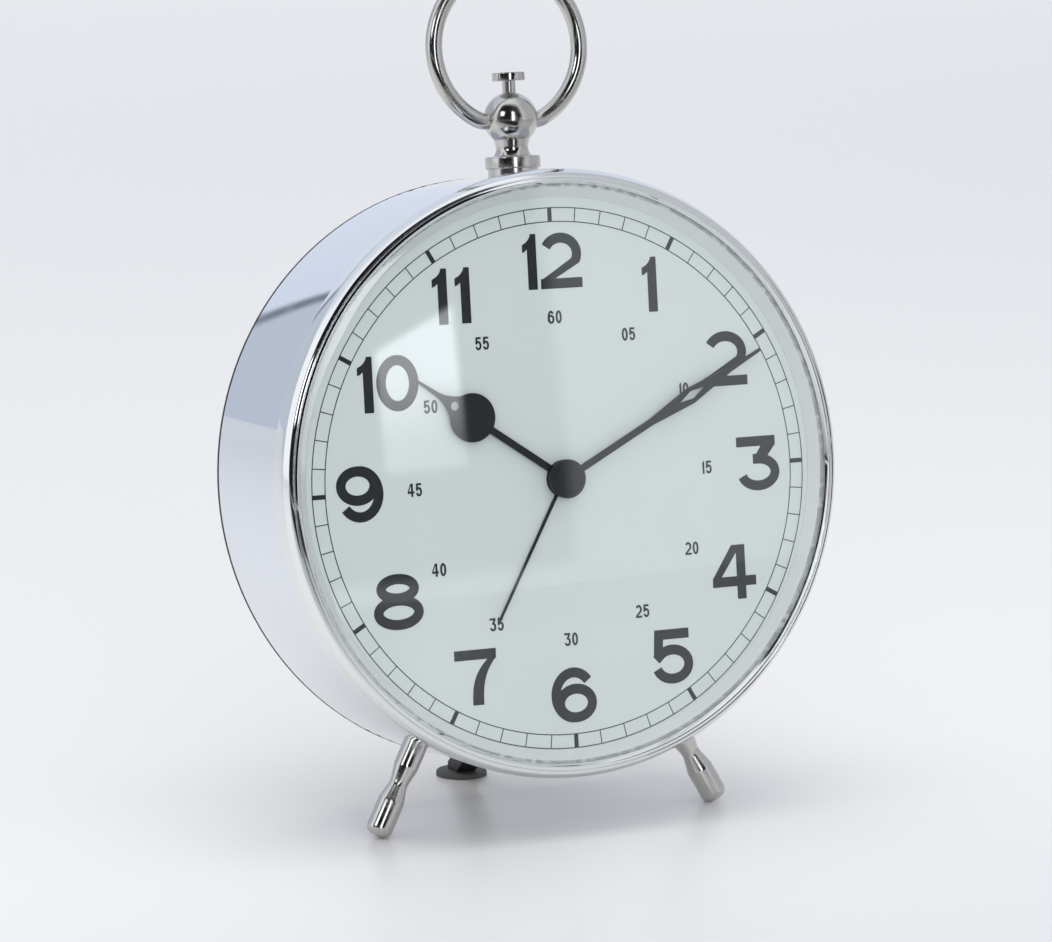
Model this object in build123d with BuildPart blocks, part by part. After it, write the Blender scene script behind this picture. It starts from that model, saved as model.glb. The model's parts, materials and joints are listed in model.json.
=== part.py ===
"""Round chrome alarm clock on two turned legs, with a finial, ring handle and top button.

Millimetres, +Z up. The origin is on the table under the middle of the clock.
The case leans back, so most pieces are drawn on the dial plane:
x to the right, y up the dial, and its normal pointing forward out of the dial.
"""

import os
from math import asin, cos, degrees, radians, sin, sqrt

from build123d import *

os.makedirs("parts", exist_ok=True)

# --- Driving dimensions -------------------------------------------------------------
lean = 7.05  # the whole case leans back by this angle
axis_height = 59.4  # case axis above the table, at the dial plane
axis_back = -18.11  # case axis along Y, at the dial plane
dial_drop = 0.8  # the hands' axis is this far under the case axis

bezel_radius = 50.0
bezel_front = 3.3
bezel_mouth = 46.7
drum_radius = 49.2
drum_wall = 0.8
drum_depth = 29.2
dial_thickness = 0.5
ring_height = 1.6  # sloping ring between dial and lens
lens_thickness = 0.8
lens_rise = 1.2

finial_depth = 13.3  # finial axis behind the dial plane
leg_depth = 12.3
leg_angle = 28.5  # leg away from straight down
ball_height = 58.6
ball_radius = 4.5
pivot_height = 58.4
ring_radius = 13.2  # centre line of the ring handle
wire_radius = 1.4

hour_angle = 55.4  # left of twelve
minute_angle = 62.6  # right of twelve
alarm_angle = 150.2  # left of twelve

movement_size = 54.0
movement_depth = 16.0
movement_split = 9.0
shell_wall = 1.5
knob_offset = 16.0  # setting arbors, left and right of the hands' axis
post_offset = 12.0  # motion wheel's post, above the hands' axis
third_offset = 14.0  # third wheel, under the hands' axis

cover_radius = 43.0  # raised part of the rear cover
cover_back = 36.0
cover_wall = 1.6
post_radius_at = 45.8  # circle of the cover's posts and screws
cell_height = -19.5
cell_depth = 26.2
cell_radius = 7.0
door_width = 54.6
door_height = 18.8
strut_width = 3.6
foot_radius = 4.4
foot_height = 0.9
foot_behind = 41.0  # middle of the rear foot behind the case axis
running_gap = 0.05

# --- Frames -------------------------------------------------------------------------
lean_sin = sin(radians(lean))
lean_cos = cos(radians(lean))
up = (0, lean_sin, lean_cos)
front = (0, -lean_cos, lean_sin)
dial_plane = Plane(origin=(0, axis_back, axis_height), x_dir=(1, 0, 0), z_dir=front)
section_plane = Plane(origin=dial_plane.origin, x_dir=up, z_dir=(1, 0, 0))
case_axis = Axis(dial_plane.origin, front)
arbor_origin = dial_plane.from_local_coords((0, -dial_drop, 0))
arbor_section = Plane(origin=arbor_origin, x_dir=up, z_dir=(1, 0, 0))
arbor_axis = Axis(arbor_origin, front)
finial_plane = dial_plane.offset(-finial_depth)
finial_axis = Axis(finial_plane.origin, up)
finial_top_plane = Plane(origin=finial_plane.origin, x_dir=(1, 0, 0), z_dir=up)

hands_at = (0, -dial_drop)
time_set_at = (knob_offset, -dial_drop)
alarm_set_at = (-knob_offset, -dial_drop)
motion_at = (0, -dial_drop + post_offset)
third_at = (0, -dial_drop - third_offset)
screw_corners = movement_size - 8.0


def layer(depth):
    """Plane parallel to the dial, this far behind it."""
    return dial_plane.offset(-depth)


def spoke_plane(depth, angle):
    """Plane parallel to the dial whose y points out of the case, angle from twelve."""
    return layer(depth).moved(Rotation(0, 0, angle))


def outward(plane):
    """Plane at the same origin whose normal is the given plane's y."""
    return plane.moved(Rotation(-90, 0, 0))


def cap_rise(edge_radius, rise, radius):
    """Height above its edge of a spherical cap, at a radius from its axis."""
    sphere = (edge_radius**2 + rise**2) / (2 * rise)
    return sqrt(sphere**2 - radius**2) - (sphere - rise)


def table_point(upward, forward):
    """Side view position (y, z) of a point given up the dial and forward of it."""
    return (
        axis_back + upward * lean_sin - forward * lean_cos,
        axis_height + upward * lean_cos + forward * lean_sin,
    )


def tooth_outline(teeth, module, first_tooth, centre):
    """Closed line of a toothed wheel, with one tooth centred on the angle first_tooth."""
    pitch_radius = teeth * module / 2
    root = pitch_radius - 1.15 * module
    tip = pitch_radius + 0.85 * module
    half_pitch = 180 / teeth
    points = []
    for tooth in range(teeth):
        middle = first_tooth + 2 * half_pitch * tooth
        for radius, share in ((root, -0.64), (tip, -0.22), (tip, 0.22), (root, 0.64)):
            angle = radians(middle + share * half_pitch)
            points.append((centre[0] + radius * cos(angle), centre[1] + radius * sin(angle)))
    return Polyline(*points, close=True)


def write(builder, name):
    builder.part.label = name
    export_step(builder.part, f"parts/{name}.step")


# --- Case ---------------------------------------------------------------------------
drum_inside = drum_radius - drum_wall
stud_radius = 2.5
leg_stud_radius = 1.5

with BuildPart() as case_drum:
    with BuildSketch(section_plane):
        with Locations((drum_inside + drum_wall / 2, -drum_depth / 2)):
            Rectangle(drum_wall, drum_depth)
    revolve(axis=case_axis)
    with BuildSketch(finial_top_plane.offset(drum_inside - 3)):
        Circle(stud_radius)
    extrude(amount=6, mode=Mode.SUBTRACT)
    for side in (-1, 1):
        leg_hole = outward(spoke_plane(leg_depth, side * (180 - leg_angle)))
        with BuildSketch(leg_hole.offset(drum_inside - 3)):
            Circle(leg_stud_radius)
        extrude(amount=6, mode=Mode.SUBTRACT)
write(case_drum, "case_drum")

lens_seat = ring_height + lens_thickness
skirt_length = 2.6
skirt_round = 0.5
with BuildPart() as front_bezel:
    with BuildSketch(section_plane):
        with BuildLine():
            Line((drum_radius, -skirt_length), (bezel_radius - skirt_round, -skirt_length))
            RadiusArc(
                (bezel_radius - skirt_round, -skirt_length),
                (bezel_radius, -skirt_length + skirt_round),
                -skirt_round,
            )
            Line((bezel_radius, -skirt_length + skirt_round), (bezel_radius, 0.9))
            ThreePointArc((bezel_radius, 0.9), (49.4, 2.6), (48.1, bezel_front))
            ThreePointArc((48.1, bezel_front), (47.15, 3.1), (bezel_mouth, lens_seat + 0.25))
            Polyline(
                (bezel_mouth, lens_seat + 0.25),
                (bezel_mouth, lens_seat),
                (drum_radius, lens_seat),
                (drum_radius, -skirt_length),
            )
        make_face()
    revolve(axis=case_axis)
write(front_bezel, "front_bezel")

dome_edge = bezel_mouth - 0.1
dome_mid_rise = cap_rise(dome_edge, lens_rise, dome_edge / 2)
with BuildPart() as lens:
    with BuildSketch(section_plane):
        with BuildLine():
            ThreePointArc(
                (0, ring_height + lens_rise),
                (dome_edge / 2, ring_height + dome_mid_rise),
                (dome_edge, ring_height),
            )
            Polyline(
                (dome_edge, ring_height),
                (drum_radius - 0.1, ring_height),
                (drum_radius - 0.1, lens_seat),
                (dome_edge, lens_seat),
            )
            ThreePointArc(
                (dome_edge, lens_seat),
                (dome_edge / 2, lens_seat + dome_mid_rise),
                (0, lens_seat + lens_rise),
            )
            Line((0, lens_seat + lens_rise), (0, ring_height + lens_rise))
        make_face()
    revolve(axis=case_axis)
write(lens, "lens")

with BuildPart() as dial_ring:
    with BuildSketch(section_plane):
        with BuildLine():
            Polyline(
                (45.4, 0),
                (drum_radius - 0.1, 0),
                (drum_radius - 0.1, ring_height),
                (47.0, ring_height),
                (45.4, 0.15),
                close=True,
            )
        make_face()
    revolve(axis=case_axis)
write(dial_ring, "dial_ring")

with BuildPart() as dial_plate:
    with BuildSketch(layer(dial_thickness)):
        Circle(drum_inside - 0.1)
        with Locations(hands_at):
            Circle(2.2, mode=Mode.SUBTRACT)
    extrude(amount=dial_thickness)
write(dial_plate, "dial_plate")

# --- Hands, from the dial outward: alarm, hour, minute, cap -----------------------------
minute_bore = 0.6
hour_bore = minute_bore + running_gap
hour_pipe = 1.25
alarm_bore = hour_pipe + running_gap
alarm_pipe = 1.8
hub_radius = 3.1
cap_radius = 3.2
hand_thickness = 0.25
alarm_hand_at = 0.3
hour_hand_at = 0.8
minute_hand_at = 1.3
cap_at = 1.55
cap_front = 2.15


def hand_plane(forward, angle):
    """Plane of a hand, centred on the arbor, its y along the hand."""
    origin = dial_plane.from_local_coords((0, -dial_drop, forward))
    return Plane(origin=origin, x_dir=(1, 0, 0), z_dir=front).moved(Rotation(0, 0, angle))


with BuildPart() as alarm_hand:
    with BuildSketch(hand_plane(alarm_hand_at, alarm_angle)):
        Circle(hub_radius)
        with BuildLine():
            Polyline((-0.28, 0), (0.28, 0), (0.18, 25.8), (-0.18, 25.8), close=True)
        make_face()
        Circle(alarm_pipe, mode=Mode.SUBTRACT)
    extrude(amount=hand_thickness)
write(alarm_hand, "alarm_hand")

spot_at = 19.46
spot_radius = 4.0
eye_at = 23.13
with BuildPart() as hour_hand:
    with BuildSketch(hand_plane(hour_hand_at, hour_angle)):
        Circle(hub_radius - 0.1)
        with Locations((0, spot_at / 2)):
            Rectangle(1.2, spot_at)
        with Locations((0, spot_at)):
            Circle(spot_radius)
        with BuildLine():
            ThreePointArc((3.2, spot_at + 2.4), (1.35, 23.9), (0.36, 27.2))
            Polyline((0.36, 27.2), (0.22, 30.7), (-0.22, 30.7), (-0.36, 27.2))
            ThreePointArc((-0.36, 27.2), (-1.35, 23.9), (-3.2, spot_at + 2.4))
            Line((-3.2, spot_at + 2.4), (3.2, spot_at + 2.4))
        make_face()
        with Locations((0, eye_at)):
            Circle(0.75, mode=Mode.SUBTRACT)
        Circle(hour_pipe, mode=Mode.SUBTRACT)
    extrude(amount=hand_thickness)
write(hour_hand, "hour_hand")

with BuildPart() as minute_hand:
    with BuildSketch(hand_plane(minute_hand_at, -minute_angle)):
        Circle(cap_radius)
        with BuildLine():
            Polyline(
                (-0.58, 0),
                (0.58, 0),
                (0.58, 18.0),
                (1.4, 26.4),
                (1.05, 29.6),
                (0.42, 35.0),
                (0.26, 41.5),
                (-0.26, 41.5),
                (-0.42, 35.0),
                (-1.05, 29.6),
                (-1.4, 26.4),
                (-0.58, 18.0),
                close=True,
            )
        make_face()
        with BuildLine():
            Polyline((0, 24.1), (0.68, 26.7), (0, 29.3), (-0.68, 26.7), close=True)
        make_face(mode=Mode.SUBTRACT)
        Circle(minute_bore, mode=Mode.SUBTRACT)
    extrude(amount=hand_thickness)
write(minute_hand, "minute_hand")

dish_radius = 2.45
with BuildPart() as centre_cap:
    with BuildSketch(arbor_section):
        with BuildLine():
            Line((0, cap_at), (cap_radius, cap_at))
            Line((cap_radius, cap_at), (cap_radius, cap_front - 0.15))
            Line((cap_radius, cap_front - 0.15), (cap_radius - 0.15, cap_front))
            Line((cap_radius - 0.15, cap_front), (2.6, cap_front))
            Line((2.6, cap_front), (dish_radius, cap_front - 0.18))
            ThreePointArc(
                (dish_radius, cap_front - 0.18),
                (dish_radius / 2, cap_front - 0.18 - cap_rise(dish_radius, 0.16, dish_radius / 2)),
                (0, cap_front - 0.34),
            )
            Line((0, cap_front - 0.34), (0, cap_at))
        make_face()
    revolve(axis=arbor_axis)
write(centre_cap, "centre_cap")

# --- Movement -----------------------------------------------------------------------
wheel_thickness = 0.8
alarm_layer = 3.4
hour_layer = 5.0
cannon_layer = 6.6
centre_layer = 8.6
third_layer = 10.6
rear_pivot = 15.6

with BuildPart() as centre_arbor:
    with BuildSketch(arbor_section):
        with Locations((minute_bore / 2, (cap_at - rear_pivot) / 2)):
            Rectangle(minute_bore, cap_at + rear_pivot)
    revolve(axis=arbor_axis)
    with BuildSketch(layer(cannon_layer + 0.2)):
        with BuildLine():
            tooth_outline(12, 0.5, 90, hands_at)
        make_face()
    extrude(amount=wheel_thickness + 0.4)
write(centre_arbor, "centre_arbor")

with BuildPart() as centre_wheel:
    with BuildSketch(layer(centre_layer)):
        with BuildLine():
            tooth_outline(48, 0.5, 0, hands_at)
        make_face()
        with Locations(hands_at):
            Circle(minute_bore, mode=Mode.SUBTRACT)
            with PolarLocations(7.0, 5):
                Circle(2.6, mode=Mode.SUBTRACT)
    extrude(amount=wheel_thickness)
write(centre_wheel, "centre_wheel")


def piped_wheel(wheel_depth, teeth, module, bore, pipe, pipe_front):
    """Solid of a wheel with a forward pipe through which a finer arbor passes."""
    with BuildPart() as wheel:
        with BuildSketch(layer(wheel_depth)):
            with BuildLine():
                tooth_outline(teeth, module, 0, hands_at)
            make_face()
        extrude(amount=wheel_thickness)
        with BuildSketch(layer(wheel_depth)):
            with Locations(hands_at):
                Circle(pipe)
        extrude(amount=wheel_depth + pipe_front)
        with BuildSketch(layer(wheel_depth)):
            with Locations(hands_at):
                Circle(bore)
        extrude(amount=wheel_depth + pipe_front, mode=Mode.SUBTRACT)
        with BuildSketch(layer(wheel_depth)):
            with Locations(hands_at):
                with PolarLocations(5.9, 4, start_angle=45):
                    Circle(2.2)
        extrude(amount=wheel_thickness, mode=Mode.SUBTRACT)
    return wheel


hour_wheel = piped_wheel(
    hour_layer, 40, 0.48, hour_bore, hour_pipe, hour_hand_at + hand_thickness
)
write(hour_wheel, "hour_wheel")
alarm_wheel = piped_wheel(
    alarm_layer, 40, 0.5, alarm_bore, alarm_pipe, alarm_hand_at + hand_thickness
)
write(alarm_wheel, "alarm_wheel")

with BuildPart() as motion_wheel:
    with BuildSketch(layer(cannon_layer)):
        with BuildLine():
            tooth_outline(36, 0.5, -85, motion_at)
        make_face()
    extrude(amount=wheel_thickness)
    with BuildSketch(layer(cannon_layer - wheel_thickness)):
        with BuildLine():
            tooth_outline(10, 0.48, -72, motion_at)
        make_face()
    extrude(amount=1.8)
    with BuildSketch(layer(cannon_layer)):
        with Locations(motion_at):
            Circle(minute_bore + running_gap)
    extrude(amount=4, mode=Mode.SUBTRACT)
write(motion_wheel, "motion_wheel")

with BuildPart() as third_wheel:
    with BuildSketch(layer(15.4)):
        with Locations(third_at):
            Circle(0.5)
    extrude(amount=14.2)
    with BuildSketch(layer(centre_layer + 0.2)):
        with BuildLine():
            tooth_outline(8, 0.5, 112.5, third_at)
        make_face()
    extrude(amount=wheel_thickness + 0.4)
    with BuildSketch(layer(third_layer)):
        with BuildLine():
            tooth_outline(48, 0.35, 0, third_at)
        make_face()
    extrude(amount=wheel_thickness)
write(third_wheel, "third_wheel")


def setting_arbor(teeth, first_tooth, pinion_depth, centre):
    """Solid of a setting knob's arbor with its pinion and front pivot."""
    with BuildPart() as arbor:
        with BuildSketch(layer(39.5)):
            with Locations(centre):
                Circle(1.0)
        extrude(amount=39.5 - 2.4)
        with BuildSketch(layer(2.4)):
            with Locations(centre):
                Circle(0.5)
        extrude(amount=1.4)
        with BuildSketch(layer(pinion_depth + 0.2)):
            with BuildLine():
                tooth_outline(teeth, 0.5, first_tooth, centre)
            make_face()
        extrude(amount=wheel_thickness + 0.4)
    return arbor


time_set_arbor = setting_arbor(16, 191.25, centre_layer, time_set_at)
write(time_set_arbor, "time_set_arbor")
alarm_set_arbor = setting_arbor(24, 7.5, alarm_layer, alarm_set_at)
write(alarm_set_arbor, "alarm_set_arbor")

with BuildPart() as movement_front:
    with BuildSketch(layer(movement_split)):
        with Locations(hands_at):
            RectangleRounded(movement_size, movement_size, 5)
    extrude(amount=movement_split - dial_thickness)
    with BuildSketch(layer(movement_split)):
        with Locations(hands_at):
            RectangleRounded(movement_size - 2 * shell_wall, movement_size - 2 * shell_wall, 3.5)
    extrude(amount=movement_split - dial_thickness - shell_wall, mode=Mode.SUBTRACT)
    with BuildSketch(layer(movement_split)):
        with Locations(hands_at):
            with GridLocations(screw_corners, screw_corners, 2, 2):
                Circle(2.2)
    extrude(amount=movement_split - dial_thickness - shell_wall)
    with BuildSketch(layer(7.0)):
        with Locations(motion_at):
            Circle(minute_bore)
    extrude(amount=5.0)
    with BuildSketch(layer(dial_thickness + shell_wall)):
        with Locations(hands_at):
            Circle(alarm_pipe + running_gap)
        with Locations(time_set_at, alarm_set_at, third_at):
            Circle(0.5 + running_gap)
    extrude(amount=shell_wall, mode=Mode.SUBTRACT)
    with BuildSketch(layer(movement_split)):
        with Locations(hands_at):
            with GridLocations(screw_corners, screw_corners, 2, 2):
                Circle(0.8)
    extrude(amount=5.0, mode=Mode.SUBTRACT)
write(movement_front, "movement_front")

with BuildPart() as movement_back:
    with BuildSketch(layer(movement_depth)):
        with Locations(hands_at):
            RectangleRounded(movement_size, movement_size, 5)
    extrude(amount=movement_depth - movement_split)
    with BuildSketch(layer(movement_depth - shell_wall)):
        with Locations(hands_at):
            RectangleRounded(movement_size - 2 * shell_wall, movement_size - 2 * shell_wall, 3.5)
    extrude(amount=movement_depth - shell_wall - movement_split, mode=Mode.SUBTRACT)
    with BuildSketch(layer(movement_depth - shell_wall)):
        with Locations(hands_at):
            with GridLocations(screw_corners, screw_corners, 2, 2):
                Circle(2.2)
    extrude(amount=movement_depth - shell_wall - movement_split)
    with BuildSketch(layer(movement_depth)):
        with Locations(time_set_at, alarm_set_at):
            Circle(1.0 + running_gap)
        with Locations(hands_at):
            with GridLocations(screw_corners, screw_corners, 2, 2):
                Circle(0.8)
    extrude(amount=movement_depth - movement_split, mode=Mode.SUBTRACT)
    with BuildSketch(layer(15.7)):
        with Locations(hands_at):
            Circle(minute_bore + running_gap)
        with Locations(third_at):
            Circle(0.5 + running_gap)
    extrude(amount=1.2, mode=Mode.SUBTRACT)
write(movement_back, "movement_back")

with BuildPart() as movement_screws:
    with BuildSketch(layer(movement_depth + 0.9)):
        with Locations(hands_at):
            with GridLocations(screw_corners, screw_corners, 2, 2):
                Circle(1.6)
    extrude(amount=0.9)
    with BuildSketch(layer(movement_depth)):
        with Locations(hands_at):
            with GridLocations(screw_corners, screw_corners, 2, 2):
                Circle(0.8)
    extrude(amount=11.0)
    with BuildSketch(layer(movement_depth + 0.9)):
        with Locations(hands_at):
            with GridLocations(screw_corners, screw_corners, 2, 2):
                Rectangle(2.0, 0.45)
                Rectangle(0.45, 2.0)
    extrude(amount=0.5, mode=Mode.SUBTRACT)
write(movement_screws, "movement_screws")

coil_at = (-19.5, -15.0)
coil_depth = 11.5
coil_plane = Plane(origin=dial_plane.from_local_coords((*coil_at, -coil_depth)), z_dir=up)
with BuildPart() as motor_coil:
    with BuildSketch(coil_plane):
        Circle(2.6)
    extrude(amount=6.5, both=True)
    with BuildSketch(coil_plane):
        Circle(1.0)
    extrude(amount=6.5, both=True, mode=Mode.SUBTRACT)
write(motor_coil, "motor_coil")

with BuildPart() as motor_core:
    with BuildSketch(coil_plane):
        Circle(1.0)
    extrude(amount=7.6, both=True)
    with BuildSketch(layer(12.2)):
        for end in (-1, 1):
            with Locations((coil_at[0] + 4.2, coil_at[1] + end * 7.3)):
                Rectangle(10.4, 1.4)
        with Locations((coil_at[0] + 8.7, coil_at[1])):
            Rectangle(1.4, 16.0)
    extrude(amount=1.2)
write(motor_core, "motor_core")

board_at = (14.5, -15.5)
with BuildPart() as circuit_board:
    with BuildSketch(layer(12.0)):
        with Locations(board_at):
            Rectangle(12, 14)
    extrude(amount=1.0)
    with BuildSketch(layer(12.8)):
        with Locations(board_at):
            Rectangle(5, 5)
    extrude(amount=0.8)
write(circuit_board, "circuit_board")

# --- Rear cover, knobs, battery ---------------------------------------------------------
switch_at = (17.0, 21.0)
buzzer_at = (-17.0, 21.0)
opening_gap = 0.3
hinge_up = cell_height - door_height / 2 + 0.75
hinge_depth = cover_back - 0.8
hinge_pin = 0.75
door_thickness = 1.4

with BuildPart() as rear_cover:
    with BuildSketch(section_plane):
        with BuildLine():
            Polyline(
                (0, -(cover_back - cover_wall)),
                (cover_radius - cover_wall, -(cover_back - cover_wall)),
                (cover_radius - cover_wall, -(drum_depth - 0.8)),
                (drum_inside - 0.1, -(drum_depth - 0.8)),
                (drum_inside - 0.1, -drum_depth),
                (drum_radius + 0.02, -drum_depth),
                (drum_radius + 0.02, -(drum_depth + 0.45)),
                (drum_radius - 0.9, -(drum_depth + 0.8)),
                (cover_radius + 0.3, -(drum_depth + 0.8)),
                (cover_radius, -(drum_depth + 1.4)),
                (cover_radius - 0.2, -(cover_back - 1.6)),
            )
            ThreePointArc(
                (cover_radius - 0.2, -(cover_back - 1.6)),
                (cover_radius - 0.75, -(cover_back - 0.47)),
                (cover_radius - 1.9, -cover_back),
            )
            Polyline(
                (cover_radius - 1.9, -cover_back),
                (0, -cover_back),
                (0, -(cover_back - cover_wall)),
            )
        make_face()
    revolve(axis=case_axis)
    # strut that carries the rear foot
    with BuildSketch(Plane.YZ.offset(-strut_width / 2)):
        with BuildLine():
            Polyline(
                table_point(-cover_radius + 1.0, -drum_depth - 1.6),
                table_point(-cover_radius + 1.0, -cover_back + 2.0),
                (axis_back + foot_behind + strut_width / 2, foot_height + 1.2),
                (axis_back + foot_behind + strut_width / 2, foot_height),
                (axis_back + foot_behind - strut_width / 2, foot_height),
                close=True,
            )
        make_face()
    extrude(amount=strut_width)
    # the battery opening, the knobs' dished seats and arbor holes
    with BuildSketch(layer(cover_back)):
        with Locations((0, cell_height)):
            Rectangle(door_width + 2 * opening_gap, door_height + 2 * opening_gap)
        with Locations(time_set_at, alarm_set_at):
            Circle(1.5)
        with Locations(switch_at):
            SlotOverall(9.4, 2.8)
        with Locations(buzzer_at):
            Circle(0.8)
            with PolarLocations(3.2, 6):
                Circle(0.8)
            with PolarLocations(6.2, 12):
                Circle(0.8)
    extrude(amount=cover_wall, mode=Mode.SUBTRACT)
    with BuildSketch(layer(cover_back)):
        with Locations(time_set_at, alarm_set_at):
            Circle(7.2)
        with Locations(switch_at):
            SlotOverall(14.0, 7.0)
    extrude(amount=0.6, mode=Mode.SUBTRACT)
    with BuildSketch(layer(drum_depth + 0.8)):
        with PolarLocations(post_radius_at, 4, start_angle=45):
            Circle(1.1)
    extrude(amount=1.6, mode=Mode.SUBTRACT)
write(rear_cover, "rear_cover")

with BuildPart() as rear_foot:
    with BuildSketch(Plane.XY):
        with Locations((0, axis_back + foot_behind)):
            Circle(foot_radius)
    extrude(amount=foot_height)
    fillet(rear_foot.faces().sort_by(Axis.Z)[-1].edges(), 0.35)
write(rear_foot, "rear_foot")

with BuildPart() as cover_posts:
    with BuildSketch(layer(drum_depth - 0.8)):
        with PolarLocations(post_radius_at, 4, start_angle=45):
            Circle(2.2)
            Circle(1.0, mode=Mode.SUBTRACT)
    extrude(amount=drum_depth - 0.8 - dial_thickness)
write(cover_posts, "cover_posts")

with BuildPart() as cover_screws:
    with BuildSketch(layer(drum_depth + 1.7)):
        with PolarLocations(post_radius_at, 4, start_angle=45):
            Circle(1.9)
    extrude(amount=0.9)
    fillet(cover_screws.faces().sort_by(case_axis)[:4].edges(), 0.35)
    with BuildSketch(layer(drum_depth + 1.7)):
        with PolarLocations(post_radius_at, 4, start_angle=45):
            Rectangle(2.2, 0.5)
            Rectangle(0.5, 2.2)
    extrude(amount=0.5, mode=Mode.SUBTRACT)
    with BuildSketch(layer(drum_depth + 0.8)):
        with PolarLocations(post_radius_at, 4, start_angle=45):
            Circle(1.0)
    extrude(amount=9.0)
write(cover_screws, "cover_screws")


def setting_knob(centre):
    """Solid of a fluted setting knob on its arbor."""
    with BuildPart() as knob:
        with BuildSketch(layer(41.2)):
            with Locations(centre):
                Circle(5.6)
                with PolarLocations(6.0, 24):
                    Circle(0.62, mode=Mode.SUBTRACT)
        extrude(amount=4.2, taper=2)
        with BuildSketch(layer(37.0)):
            with Locations(centre):
                Circle(3.4)
        extrude(amount=1.2)
        with BuildSketch(layer(39.5)):
            with Locations(centre):
                Circle(1.0)
        extrude(amount=4.5, mode=Mode.SUBTRACT)
        with BuildSketch(layer(41.2)):
            with Locations(centre):
                Circle(3.6)
        extrude(amount=0.5, mode=Mode.SUBTRACT)
    return knob


time_set_knob = setting_knob(time_set_at)
write(time_set_knob, "time_set_knob")
alarm_set_knob = setting_knob(alarm_set_at)
write(alarm_set_knob, "alarm_set_knob")

tray_wall = 1.2
tray_width = 2 * 26.0
tray_height = 16.0
ledge = cover_back - cover_wall
with BuildPart() as battery_tray:
    with BuildSketch(layer(ledge)):
        with Locations((0, cell_height)):
            Rectangle(tray_width + 2 * tray_wall, tray_height + 2 * tray_wall)
    extrude(amount=ledge - 17.4)
    with BuildSketch(layer(ledge)):
        with Locations((0, cell_height)):
            Rectangle(door_width + 1.6, door_height + 1.2)
    extrude(amount=1.2)
    with BuildSketch(layer(ledge)):
        with Locations((0, cell_height)):
            Rectangle(tray_width, tray_height)
    extrude(amount=ledge - 17.4 - tray_wall, mode=Mode.SUBTRACT)
write(battery_tray, "battery_tray")

cell_plane = Plane(
    origin=dial_plane.from_local_coords((0, cell_height, -cell_depth)), x_dir=up, z_dir=(1, 0, 0)
)
with BuildPart() as battery_cell:
    with BuildSketch(cell_plane.offset(-24.6)):
        Circle(cell_radius)
    extrude(amount=48.6)
    with BuildSketch(cell_plane.offset(24.0)):
        Circle(2.7)
    extrude(amount=1.2)
write(battery_cell, "battery_cell")

with BuildPart() as positive_contact:
    with BuildSketch(cell_plane.offset(25.2)):
        Rectangle(10, 8)
    extrude(amount=0.4)
write(positive_contact, "positive_contact")

with BuildPart() as negative_contact:
    with BuildSketch(cell_plane.offset(-25.6)):
        Rectangle(10, 8)
    extrude(amount=0.4)
    with BuildSketch(cell_plane.offset(-25.2)):
        Circle(3.0)
    extrude(amount=0.6, taper=30)
write(negative_contact, "negative_contact")

hinge_plane = Plane(
    origin=dial_plane.from_local_coords((0, hinge_up, -hinge_depth)), x_dir=up, z_dir=(1, 0, 0)
)
door_top = cell_height + door_height / 2
with BuildPart() as battery_door:
    with BuildSketch(layer(cover_back)):
        with Locations((0, (hinge_up + door_top) / 2)):
            Rectangle(door_width, door_top - hinge_up)
    extrude(amount=door_thickness)
    with BuildSketch(hinge_plane):
        Circle(hinge_pin)
    extrude(amount=door_width / 2, both=True)
    with BuildSketch(layer(cover_back + 0.35)):
        for bar in range(4):
            with Locations((0, door_top - 2.4 - 1.5 * bar)):
                Rectangle(13 - 2 * bar, 0.6)
    extrude(amount=0.6)
write(battery_door, "battery_door")

with BuildPart() as buzzer:
    with BuildSketch(layer(ledge)):
        with Locations(buzzer_at):
            Circle(9.0)
    extrude(amount=3.0)
write(buzzer, "buzzer")

slider_travel = 5.0
slider_start = (switch_at[0] - slider_travel / 2, switch_at[1])
with BuildPart() as switch_body:
    with BuildSketch(layer(ledge)):
        with Locations(switch_at):
            Rectangle(14, 6)
    extrude(amount=4.0)
    with BuildSketch(layer(ledge)):
        with Locations(switch_at):
            SlotOverall(9.4, 2.8)
    extrude(amount=2.0, mode=Mode.SUBTRACT)
write(switch_body, "switch_body")

with BuildPart() as alarm_switch:
    with BuildSketch(layer(ledge - 1.2)):
        with Locations(slider_start):
            Rectangle(2.4, 2.3)
    extrude(amount=-4.0)
    with BuildSketch(layer(cover_back - 0.4)):
        with Locations(slider_start):
            RectangleRounded(4.6, 4.6, 0.8)
    extrude(amount=-2.0)
    with BuildSketch(layer(cover_back + 1.6)):
        with Locations(slider_start):
            with GridLocations(1.3, 0, 3, 1):
                Rectangle(0.5, 4.0)
    extrude(amount=0.4, mode=Mode.SUBTRACT)
write(alarm_switch, "alarm_switch")

# --- Finial, ring handle and button -----------------------------------------------------
button_bore = 1.15
stud_foot = 43.2
washer_top = 50.4
flange_top = 52.45
neck_top_radius = 3.0
neck_top = ball_height - sqrt(ball_radius**2 - neck_top_radius**2)
ball_mouth = ball_height + sqrt(ball_radius**2 - button_bore**2)
ring_bore = wire_radius + running_gap
ring_pin_end = 1.8

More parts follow.
